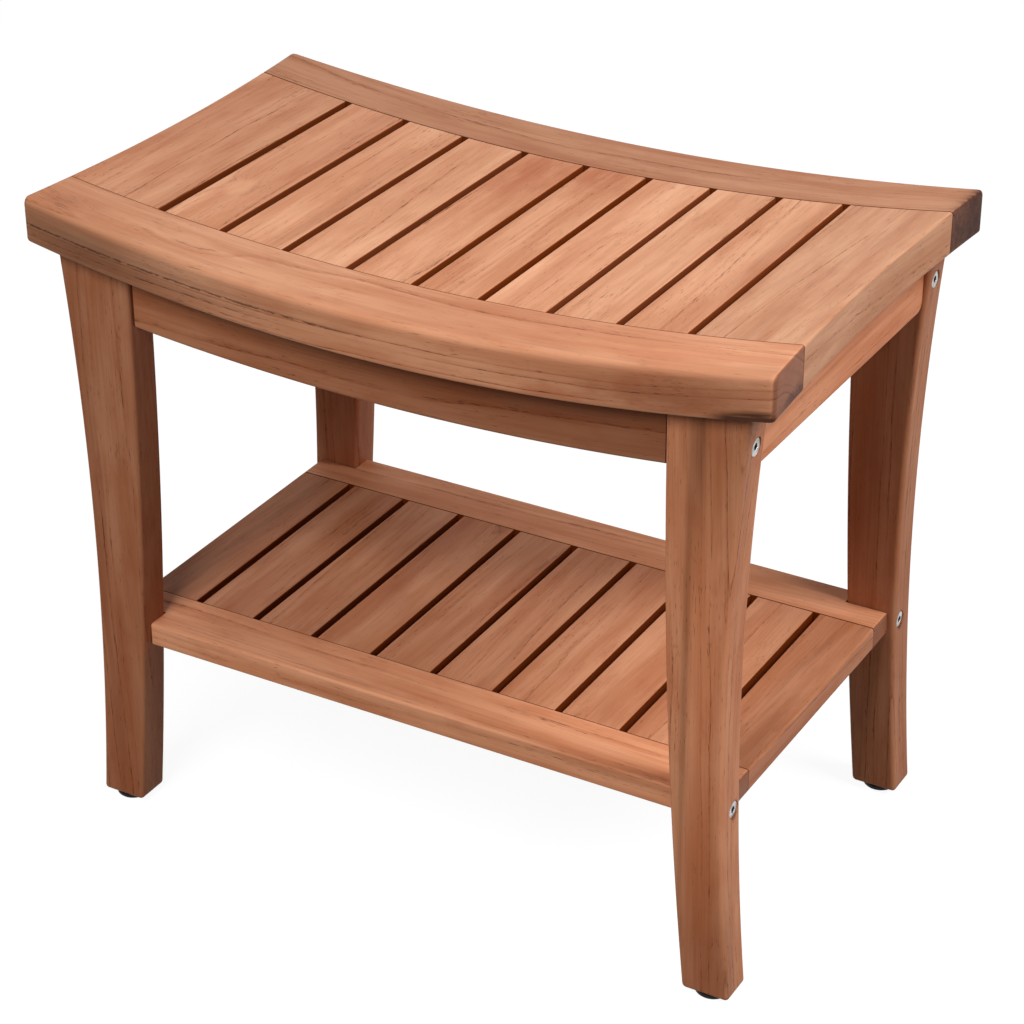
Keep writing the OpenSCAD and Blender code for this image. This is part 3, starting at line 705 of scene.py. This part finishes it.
TEAK = teak()
BEECH = beech()
ALONG_X, ALONG_Z = (900.0, 9000.0, 9000.0), (3000.0, 3000.0, 900.0)  # how dense scratches lie
BOLT_STEEL = metal("bolt_steel", linear(188, 187, 185), linear(140, 139, 138), 0.24, ALONG_X)
ZINC_STEEL = metal("zinc_steel", linear(190, 193, 196), linear(140, 142, 146), 0.34, ALONG_Z)
BRASS = metal("brass", linear(206, 172, 98), linear(150, 118, 62), 0.32, ALONG_Z)
PLASTIC = black_plastic()


def dressed(obj, material, body, slot, *nodes):
    """Gives a finished piece its material, its body and the CAD nodes that it stands for. slot is not used.
    """
    obj.data.materials.clear()
    obj.data.materials.append(material)
    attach(obj, body)
    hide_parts(*nodes)
    return obj


def timber(node, mesh, cutters=(), **sawn):
    """A finished teak board that stands for a CAD node."""
    obj = drilled(f"{node}_board", mesh, cutters) if cutters else placed(f"{node}_board", mesh)
    saw(obj, **sawn)
    return dressed(obj, TEAK, "frame", "teak", node)


# ---- seat ----

def seat_rail(y_side):
    """Long rail: outline in (y, depth) along x = s * hollow_x(y), on the seat's arc.

    Near the ends the outer side draws in as a quarter circle of the corner's radius, and the top
    and underside draw in by their own arrises.
    """
    reach = hollow_x(half_depth - CORNER_R)
    stations = run(-reach, reach, CORNER_R, 90)
    end = reach - np.abs(stations)
    top, under = eased(end, END_ARRIS), eased(end, UNDER_ROUND)
    low = columns(seam_y + SEAM_GAP, top)
    high = columns(bow_y(stations) - eased(end, CORNER_R), RAIL_T - under)
    radii = columns(SEAM_ARRIS, np.maximum(TOP_ROUND - top, LEAST_ROUND),
                    np.maximum(UNDER_ROUND - under, LEAST_ROUND), SEAM_ARRIS)

    def place(along, y, depth):
        x = along / reach * hollow_x(y)
        return x, y_side * y, seat_z(x, depth)

    return board("seat_rail", stations, low, high, radii, place, (7, 9), edge_wear_and_highlight=(1, 1, UNDER_WEAR_AND_HIGHLIGHT, 1))


def seat_end_board(x_side):
    """End board: outline in (across, depth) along y, from the last gap to the hollowed end."""
    stations, lift = tapered(seam_y, SEAM_ARRIS, 60)
    lean = slat_field / SEAT_R
    inner_top = SEAT_R * np.sin(lean)
    low = columns(0.0, lift)
    high = columns(hollow_x(stations) - inner_top, RAIL_T - lift)
    radii = (SLAT_ARRIS, END_ARRIS, UNDER_ROUND, SLAT_ARRIS)

    def place(y, across, depth):
        inner = (SEAT_R + depth) * np.sin(lean)
        outer = hollow_x(y)
        x = inner + across * (outer - inner) / (outer - inner_top)
        return x_side * x, y, seat_z(x, depth)

    return board("seat_end_board", stations, low, high, radii, place, (7, 4), lift / SEAM_ARRIS)


def seat_slat(number):
    """Inner slat: outline in (across, depth) along y, turned to the seat's arc at its own place."""
    lean = (number - (SLAT_COUNT + 1) / 2) * pitch / SEAT_R
    stations, lift = tapered(seam_y, SEAM_ARRIS, 24)
    low, high = columns(-SLAT_W / 2, lift), columns(SLAT_W / 2, SLAT_T - lift)

    def place(y, across, depth):
        drop = np.sqrt((SEAT_R + depth) ** 2 - across ** 2)
        x = across * np.cos(lean) + drop * np.sin(lean)
        return x, y, curve_z + across * np.sin(lean) - drop * np.cos(lean)

    return board("seat_slat", stations, low, high, SLAT_ARRIS, place, (6, 4), lift / SEAM_ARRIS)


# ---- legs and aprons ----

def nut_hole(axis, place, depth):
    """Cutter for the round hole of a barrel nut, which starts just outside the face at place."""
    radius = NUT_D / 2 + NUT_PLAY
    return turned(lathe("nut_hole", [(-CUT_START, radius), (depth, radius)]), axis, place)


def countersink(place, x_side):
    """Cutter for a bolt: a straight mouth, a 90 degree cone for its head and a hole for its shank."""
    mouth, shank = HEAD_D / 2 + BOLT_PLAY, SHANK_D / 2 + BOLT_PLAY
    rings = [(-MOUTH_START, mouth), (0.0, mouth), (mouth - shank, shank), (SHANK_HOLE, shank)]
    return turned(lathe("countersink", rings), (-x_side, 0, 0), place)


def leg(x_side, y_side):
    """Sabre leg: outline in (x, y) along z, between the two arcs of its edges, eased at the foot."""
    foot = leg_low[2]
    top = seat_z(leg_outer_x(leg_top_z) - LEG_TOP_W / 2, RAIL_T + GLUE_GAP)
    stations = run(foot, top, LEG_ARRIS, 56)
    lift = eased(stations - foot, LEG_ARRIS)
    low = columns(leg_inner_x(stations) + lift, leg_low[1] + lift)
    high = columns(leg_outer_x(stations) - lift, leg_high[1] - lift)
    radii = np.maximum(LEG_ARRIS - lift, LEAST_ROUND)[:, None]

    def place(z, x, y):
        rise = np.clip((z - foot) / (top - foot), 0, 1)
        level = foot + rise * (seat_z(x, RAIL_T + GLUE_GAP) - foot)
        slide = (leg_inner_x(level) + leg_outer_x(level) - leg_inner_x(z) - leg_outer_x(z)) / 2
        return x_side * (x + slide), y_side * y, level

    return board("leg", stations, low, high, radii, place, (24, 6))


def long_apron(y_side):
    """Front or rear apron: outline in (y, depth) along x, curved as the seat above it."""
    reach = apron_high[0]
    stations = run(-reach, reach, JOINT_SHADE, 70)
    from_end = reach - np.abs(stations)
    ends = eased(from_end, SEAM_ARRIS)
    low = columns(apron_low[1] + ends, RAIL_T + GLUE_GAP + ends)
    high = columns(apron_high[1] - ends, RAIL_T + APRON_H - ends)
    radii = (SEAM_ARRIS, SEAM_ARRIS, SMALL_ARRIS, SMALL_ARRIS)
    # Dirt and painted shade in the corners that the apron makes with the legs.
    dark = np.clip((JOINT_SHADE - from_end) / JOINT_FADE, 0, 1)
    return board("long_apron", stations, low, high, radii,
                 lambda x, y, depth: (x, y_side * y, seat_z(x, depth)), seam=dark)


def side_apron(x_side):
    """Side apron: outline in (x, height) along y, level below, with its lower corners rounded."""
    stations, lift = tapered(side_high[1], SIDE_CORNER_R, 20)
    low = columns(side_low[0], side_low[2] + lift)
    high = columns(side_high[0], np.full_like(stations, side_high[2]))
    radii = (SMALL_ARRIS, SMALL_ARRIS, SEAM_ARRIS, SEAM_ARRIS)
    level = side_high[2]

    def place(y, x, z):
        up = np.clip((z - side_low[2]) / (level - side_low[2]), 0, 1)
        return x_side * x, y, z + up * (seat_z(x, RAIL_T + GLUE_GAP) - level)

    return board("side_apron", stations, low, high, radii, place)


# ---- shelf ----

def shelf_rail(y_side):
    """Shelf rail: outline in (y, z) along x. Past the notches only the part behind the legs is left."""
    reach = shelf_high[0]
    notch_x = leg_inner_x(shelf_high[2]) - GLUE_GAP
    notch_y = leg_low[1] - GLUE_GAP
    ends = reach - SMALL_ARRIS * (1 - np.cos(np.linspace(0, np.pi / 2, 7)))
    arm = np.r_[notch_x, notch_x + SUPPORT, np.linspace(notch_x + NOTCH_STRIP, ends[-1] - SUPPORT, 5),
                ends[::-1]]
    body = np.r_[np.linspace(0, notch_x - NOTCH_STRIP, 30), notch_x - SUPPORT, notch_x]
    half = np.r_[body, arm]
    stations = np.r_[-half[:0:-1], half]
    is_arm = np.r_[np.zeros(len(body), bool), np.ones(len(arm), bool)]
    is_arm = np.r_[is_arm[:0:-1], is_arm]
    inset = eased(reach - np.abs(stations), SMALL_ARRIS)
    low = columns(shelf_low[1], shelf_low[2] + inset)
    high = columns(np.where(is_arm, notch_y, shelf_high[1]), shelf_high[2] - inset)
    soft = np.where(is_arm, SEAM_ARRIS, SMALL_ARRIS)
    radii = columns(SEAM_ARRIS, soft, soft, SEAM_ARRIS)
    return board("shelf_rail", stations, low, high, radii, lambda x, y, z: (x, y_side * y, z))


def shelf_board(node, left_arris=SLAT_ARRIS, right_arris=SLAT_ARRIS):
    """Flat shelf board along y, in its CAD box: outline in (x, z), butting the rails at both ends."""
    near_corner, far_corner = span(node)
    stations, lift = tapered(far_corner[1], SEAM_ARRIS, 20)
    low = columns(near_corner[0], near_corner[2] + lift)
    high = columns(far_corner[0], far_corner[2] - lift)
    radii = (left_arris, right_arris, right_arris, left_arris)
    return board("shelf_board", stations, low, high, radii, lambda y, x, z: (x, y, z),
                 seam=lift / SEAM_ARRIS)


# ---- all boards ----

X_SIDES = {"left": -1, "right": 1}
Y_SIDES = {"front": -1, "rear": 1}
CORNERS = [(y_name, x_name) for x_name in X_SIDES for y_name in Y_SIDES]
BOTH_WAYS = ((1, 0, 0), (-1, 0, 0))

# Tone of each board: lighter or darker, more or less red, and how strong its figure is.
SEAT_TONES = ((-0.19, 0.02, 0.6), (-0.07, 0.00, 0.5), (-0.03, 0.00, 0.5), (0.00, -0.02, 0.5),
              (-0.05, 0.03, 0.5), (-0.06, 0.04, 0.7), (0.12, -0.03, 0.4), (0.04, -0.02, 0.4),
              (0.02, 0.00, 0.5), (-0.11, -0.02, 0.45))
# Lightness of each leg, and how much lighter it gets towards its top, as painted light and shade.
LEG_TONES = {("front", "left"): (-0.38, -0.05), ("front", "right"): (-0.10, 0.0),
             ("rear", "left"): (-0.26, 0.0), ("rear", "right"): (-0.32, 0.0)}
# Marks that stand out in the photograph, each as its place and its reach along x, y and z.
RAIL_KNOT = ((-0.150, -0.133, 0.438), (0.024, 0.009, 0.02))
SLAT_KNOT = ((-0.172, -0.050, 0.446), (0.011, 0.022, 0.02))
RAIL_STAINS = (((0.260, -0.161, 0.4105), (0.030, 0.010, 0.0058)),
               ((0.268, -0.125, 0.412), (0.010, 0.030, 0.008)))
END_STAIN = ((0.272, 0.140, 0.424), (0.012, 0.060, 0.030))
RAIL_BLUSH = ((0.22, -0.164, 0.420), (0.16, 0.007, 0.016))
REAR_BLUSH = {4: ((-0.028, 0.085, 0.438), (0.024, 0.050, 0.03)),
              5: ((0.020, 0.100, 0.438), (0.022, 0.030, 0.03))}
# A dark line along the front rail: height at x = 0, slope, and where it starts and stops.
RAIL_SPLIT = (0.4245, 0.004, -0.40, 0.00)
# Lighter and darker places: place, reach, and how much lighter. On the front rail: painted shade on the
# front face towards both ends, and painted light on the top at the right.
RAIL_PAINTED_SHADING = (((0.25, -0.163, 0.420), (0.11, 0.006, 0.02), -0.52),
               ((-0.27, -0.163, 0.420), (0.12, 0.006, 0.02), -0.56),
               ((0.20, -0.140, 0.438), (0.08, 0.020, 0.01), 0.06))
REAR_END_SHADE = ((0.268, 0.140, 0.42), (0.010, 0.08, 0.05), -0.28)
# On the front right leg: a dark streak of figure down the front face, painted shade at its top under the
# rail, darker at the foot, a painted highlight at the middle, and painted shade low on the outer side.
LEG_FIGURE_AND_SHADING = (((0.2105, -0.145, 0.24), (0.0026, 0.03, 0.18), -0.34),
              ((0.2165, -0.145, 0.40), (0.0040, 0.03, 0.06), -0.30),
              ((0.235, -0.145, 0.42), (0.04, 0.012, 0.09), -0.30),
              ((0.235, -0.145, 0.02), (0.05, 0.012, 0.07), -0.27),
              ((0.222, -0.145, 0.24), (0.015, 0.012, 0.08), 0.12),
              ((0.253, -0.135, 0.14), (0.006, 0.030, 0.14), -0.12))

# Each slope below is painted light and shade along a board's grain.
timber("seat_front_rail", seat_rail(-1), axis="x", seed=11, tone=(-0.08, 0.02, 0.85), slope=0.14,
       shades=RAIL_PAINTED_SHADING, pith=(-0.014, 0.062), tilt=(0.015, 0.012), follow=0.9, knots=(RAIL_KNOT,),
       stains=RAIL_STAINS, blushes=(RAIL_BLUSH,), split=RAIL_SPLIT, hidden=((0, 1, 0),))
timber("seat_rear_rail", seat_rail(1), axis="x", seed=12, tone=(-0.31, 0.05, 0.6), slope=0.05,
       shades=(REAR_END_SHADE,), pith=(0.03, 0.06), tilt=(0.02, 0.012), follow=0.8, stains=(END_STAIN,),
       hidden=((0, -1, 0),))
for side, x_side in X_SIDES.items():
    timber(f"seat_end_board_{side}", seat_end_board(x_side), axis="y", seed=22 + x_side,
           tone=SEAT_TONES[0 if x_side < 0 else -1], pith=(0.07 * x_side, 0.06), tilt=(0.03, 0.03),
           hidden=((-x_side, 0, 0),))
for number in range(1, SLAT_COUNT + 1):
    rng = np.random.default_rng(40 + number)
    pith = (rng.uniform(0.02, 0.08) * rng.choice([-1, 1]), rng.uniform(0.03, 0.07))
    timber(f"seat_slat_{number}", seat_slat(number), axis="y", seed=60 + number, tone=SEAT_TONES[number],
           pith=pith, tilt=(0.02, rng.uniform(0.01, 0.04)), knots=(SLAT_KNOT,) if number == 1 else (),
           blushes=(REAR_BLUSH[number],) if number in REAR_BLUSH else (), hidden=BOTH_WAYS)


def head_middle(node):
    """Middle of the face of the rear right bolt's head, from the CAD box of all four."""
    low, high = span(node)
    return high[0], high[1] - HEAD_D / 2, (low[2] + high[2]) / 2


apron_bolt = head_middle("apron_bolts")
shelf_bolt = head_middle("shelf_bolts")
apron_nut_x = leg_inner_x(leg_top_z) - NUT_REACH
shelf_nut_x = leg_inner_x(shelf_high[2]) - GLUE_GAP - NUT_REACH

for side, y_side in Y_SIDES.items():
    cutters = [nut_hole((0, y_side, 0), (x_side * apron_nut_x, y_side * apron_low[1], apron_bolt[2]),
                        APRON_NUT_DEPTH) for x_side in (-1, 1)]
    # The aprons' dark tone is partly their own wood and partly painted shade under the seat rails; their
    # slope paints more shade towards one end.
    timber(f"{side}_apron", long_apron(y_side), cutters, axis="x", seed=31 + y_side,
           tone=(-0.48, 0.13, 0.7), slope=-0.10, tilt=(0.01, 0.02), follow=0.9)
for side, x_side in X_SIDES.items():
    timber(f"side_apron_{side}", side_apron(x_side), axis="y", seed=35 + x_side, tone=(0.00, 0.15, 0.5))

for y_name, x_name in CORNERS:
    x_side, y_side = X_SIDES[x_name], Y_SIDES[y_name]
    cutters = [countersink((x_side * x, y_side * y, z), x_side) for x, y, z in (apron_bolt, shelf_bolt)]
    lightness, slope = LEG_TONES[y_name, x_name]
    timber(f"leg_{y_name}_{x_name}", leg(x_side, y_side), cutters, axis="z",
           seed=50 + 2 * x_side + y_side, tone=(lightness, 0.12, 0.5), slope=slope,
           shades=LEG_FIGURE_AND_SHADING if (y_name, x_name) == ("front", "right") else (),
           pith=(0.045 * x_side, 0.045), tilt=(0.02, 0.01))

for side, y_side in Y_SIDES.items():
    cutters = [nut_hole((0, 0, 1), (x_side * shelf_nut_x, y_side * shelf_bolt[1], shelf_low[2]),
                        SHELF_NUT_DEPTH) for x_side in (-1, 1)]
    timber(f"shelf_{side}_rail", shelf_rail(y_side), cutters, axis="x", seed=70 + y_side,
           tone=(0.10, 0.06, 0.7), tilt=(0.02, 0.01), hidden=((0, -y_side, 0),))
for side, x_side in X_SIDES.items():
    node = f"shelf_end_board_{side}"
    arrises = (SMALL_ARRIS, SLAT_ARRIS) if x_side < 0 else (SLAT_ARRIS, SMALL_ARRIS)
    timber(node, shelf_board(node, *arrises), axis="y", seed=75 + x_side, tone=(-0.19, 0.10, 0.6),
           pith=(0.05, 0.06), tilt=(0.02, 0.03), hidden=((-x_side, 0, 0),))
for number in range(1, SLAT_COUNT + 1):
    rng = np.random.default_rng(90 + number)
    node = f"shelf_slat_{number}"
    timber(node, shelf_board(node), axis="y", seed=80 + number, tone=(rng.uniform(-0.22, -0.14), 0.08, 0.5),
           pith=(rng.uniform(-0.08, 0.08), rng.uniform(0.03, 0.07)), tilt=(0.015, rng.uniform(0.01, 0.04)),
           hidden=BOTH_WAYS)


# ---- bolts, feet and hidden hardware ----

SOCKET_RINGS = 4              # the first rings of a bolt, which lie in its socket


def bolt(place, x_side, length):
    """Countersunk bolt along x: a hex socket with an eased mouth, a flat face with a rounded rim,
    a 90 degree cone and the shank."""
    hexa = hexagon(SOCKET_W)
    head, shank = HEAD_D / 2, SHANK_D / 2
    socket = [(SOCKET_H + 0.5 * MM, 0.2 * MM), (SOCKET_H, hexa * 0.9), (SOCKET_H - 0.1 * MM, hexa),
              (0.25 * MM, hexa)]
    face = [(0.0, hexa + 0.25 * MM), (0.0, hexa + 0.45 * MM), (0.0, head - 0.6 * MM),
            (0.05 * MM, head - 0.3 * MM), (0.2 * MM, head - 0.1 * MM), (0.4 * MM, head - 0.1 * MM)]
    stem = [(head - shank, shank), (head - shank + 0.5 * MM, shank), (length - 0.6 * MM, shank),
            (length, shank - 0.6 * MM)]
    return turned(lathe("bolt", socket + face + stem), (-x_side, 0, 0), place)


for node, (x, y, z), nut_x in (("apron_bolts", apron_bolt, apron_nut_x),
                               ("shelf_bolts", shelf_bolt, shelf_nut_x)):
    length = x - (nut_x - NUT_D / 2 - BOLT_TIP)
    bolts = [bolt((x_side * x, y_side * y, z), x_side, length) for x_side in (-1, 1) for y_side in (-1, 1)]
    mesh = joined(node, bolts)
    ring = np.arange(len(mesh.vertices)) % (len(mesh.vertices) // len(bolts)) // ROUND_STEPS
    # The socket rings, where the bolt steel paints shade.
    store(mesh, socket=ring < SOCKET_RINGS)
    dressed(placed(f"{node}_turned", mesh), BOLT_STEEL, "frame", "bolt_steel", node)


def foot_pad(node):
    """Moulded pad: a dished sole, a sloping rim and a straight wall with an eased shoulder."""
    low, high = span(node)
    middle = (low + high) / 2
    outer = (high[0] - low[0]) / 2
    height = high[2]
    sole = [(0.5 * MM, 0.5 * MM), (0.5 * MM, 0.55 * outer), (0.0, 0.62 * outer), (0.0, outer - 1.4 * MM)]
    rim = [(0.15 * MM, outer - 1.15 * MM), (1.2 * MM, outer - 0.1 * MM), (1.5 * MM, outer)]
    top = [(height - 0.6 * MM, outer), (height - 0.18 * MM, outer - 0.18 * MM),
           (height, outer - 0.6 * MM), (height, 5 * MM), (height, 0.5 * MM)]
    return turned(lathe(node, sole + rim + top), (0, 0, 1), (middle[0], middle[1], 0))


def recoloured(node, material):
    """Gives its material to a CAD node that stays as it is."""
    kept = frame["nodes"][node].data.materials
    kept.clear()
    kept.append(material)


for y_name, x_name in CORNERS:
    node = f"foot_pad_{y_name}_{x_name}"
    dressed(placed(f"{node}_moulded", foot_pad(node)), PLASTIC, f"foot_{y_name}_{x_name}",
            "black_plastic", node)
    recoloured(f"foot_stud_{y_name}_{x_name}", ZINC_STEEL)

for node in ("seat_dowels", "apron_dowels", "side_apron_dowels", "shelf_dowels"):
    recoloured(node, BEECH)
for node in ("apron_barrel_nuts", "shelf_barrel_nuts"):
    recoloured(node, ZINC_STEEL)
recoloured("foot_inserts", BRASS)


# ---- floor, light and camera ----

FLOOR_SIZE = 12.0
FLOOR_WHITE = 0.93            # plain white given off where the floor is seen
FLOOR_SHADE = 0.16            # how strongly the floor shows the bench's shadow
FLOOR_COLOUR = 0.20           # how pale the floor is for the light that it throws back
SOFT_LIGHT = 0.08             # light from all round
WHITE = grey(1.0)
LAMP_AIM = (0, 0, 0.3)        # middle of the bench
# Camera, as fitted to the photograph: turned YAW from the bench's front, tipped by PITCH.
FRAME_PX = 1024
FOCAL_PX = 2828
SENSOR_MM = 36
YAW, PITCH, ROLL = 0.5223, -0.5040, -0.0050
CAMERA_PLACE = (0.8451, -1.4600, 1.1553)
FAR = 50                      # how far the camera sees


def floor():
    """Pale floor. Where the camera or a reflection sees it, it gives off plain white and adds a little
    of the light that falls on it, which keeps the bench's soft shadow."""
    mesh = bpy.data.meshes.new("floor")
    half = FLOOR_SIZE / 2
    corners = [(-half, -half, 0), (half, -half, 0), (half, half, 0), (-half, half, 0)]
    mesh.from_pydata(corners, [], [(0, 1, 2, 3)])
    obj = placed("floor", mesh)
    paper = Finish("floor_paper", Roughness=0.9, Specular_IOR_Level=0.1)
    paper.finish(grey(FLOOR_COLOUR))
    white = paper.node("ShaderNodeEmission", Color=WHITE, Strength=FLOOR_WHITE)
    matt = paper.node("ShaderNodeBsdfDiffuse", Color=grey(FLOOR_SHADE))
    shown = paper.fed(paper.node("ShaderNodeAddShader"), white.outputs[0], matt.outputs[0])
    surface = paper.seen_as(shown.outputs[0], paper.shader.outputs[0])
    paper.give(paper.tree.nodes["Material Output"].inputs["Surface"], surface)
    mesh.materials.append(paper.material)


def world():
    """Plain soft light from all round, white where the camera looks past the floor."""
    space = bpy.data.worlds.new("studio")
    bpy.context.scene.world = space
    space.use_nodes = True
    space.node_tree.nodes.clear()
    sky = Nodes(space.node_tree)
    soft = sky.node("ShaderNodeBackground", Color=WHITE, Strength=SOFT_LIGHT)
    white = sky.node("ShaderNodeBackground", Color=WHITE, Strength=1.0)
    sky.node("ShaderNodeOutputWorld", Surface=sky.seen_as(white.outputs[0], soft.outputs[0]))


def lamp(name, place, size, watts):
    """A square soft box at place, pointing at the middle of the bench."""
    data = bpy.data.lights.new(name, "AREA")
    data.size = size
    data.energy = watts
    look(placed(name, data), place, LAMP_AIM)


def look(obj, place, aim, roll=0.0):
    """Puts obj at place with its -Z towards aim and its +Y up, turned by roll."""
    place, aim = np.array(place, float), np.array(aim, float)
    back = (place - aim) / np.linalg.norm(place - aim)
    right = np.cross((0, 0, 1), back)
    right /= np.linalg.norm(right)
    up = np.cross(back, right)
    right, up = np.cos(roll) * right + np.sin(roll) * up, np.cos(roll) * up - np.sin(roll) * right
    matrix = np.eye(4)
    matrix[:3] = columns(right, up, back, place)
    obj.matrix_world = Matrix(matrix)


def camera():
    """Camera at the photograph's angle."""
    data = bpy.data.cameras.new("camera")
    data.sensor_width = SENSOR_MM
    data.lens = FOCAL_PX / FRAME_PX * SENSOR_MM
    data.clip_end = FAR
    obj = placed("camera", data)
    ahead = np.array([-np.sin(YAW) * np.cos(PITCH), np.cos(YAW) * np.cos(PITCH), np.sin(PITCH)])
    look(obj, CAMERA_PLACE, np.array(CAMERA_PLACE) + ahead, ROLL)
    bpy.context.scene.camera = obj


floor()
world()
lamp("key", (1.85, 0.20, 2.05), size=1.2, watts=48)
lamp("fill", (0.05, -1.75, 1.90), size=1.0, watts=36)
lamp("back", (-1.2, 1.6, 1.9), size=1.5, watts=5)
camera()
bpy.context.scene.view_settings.view_transform = "Standard"
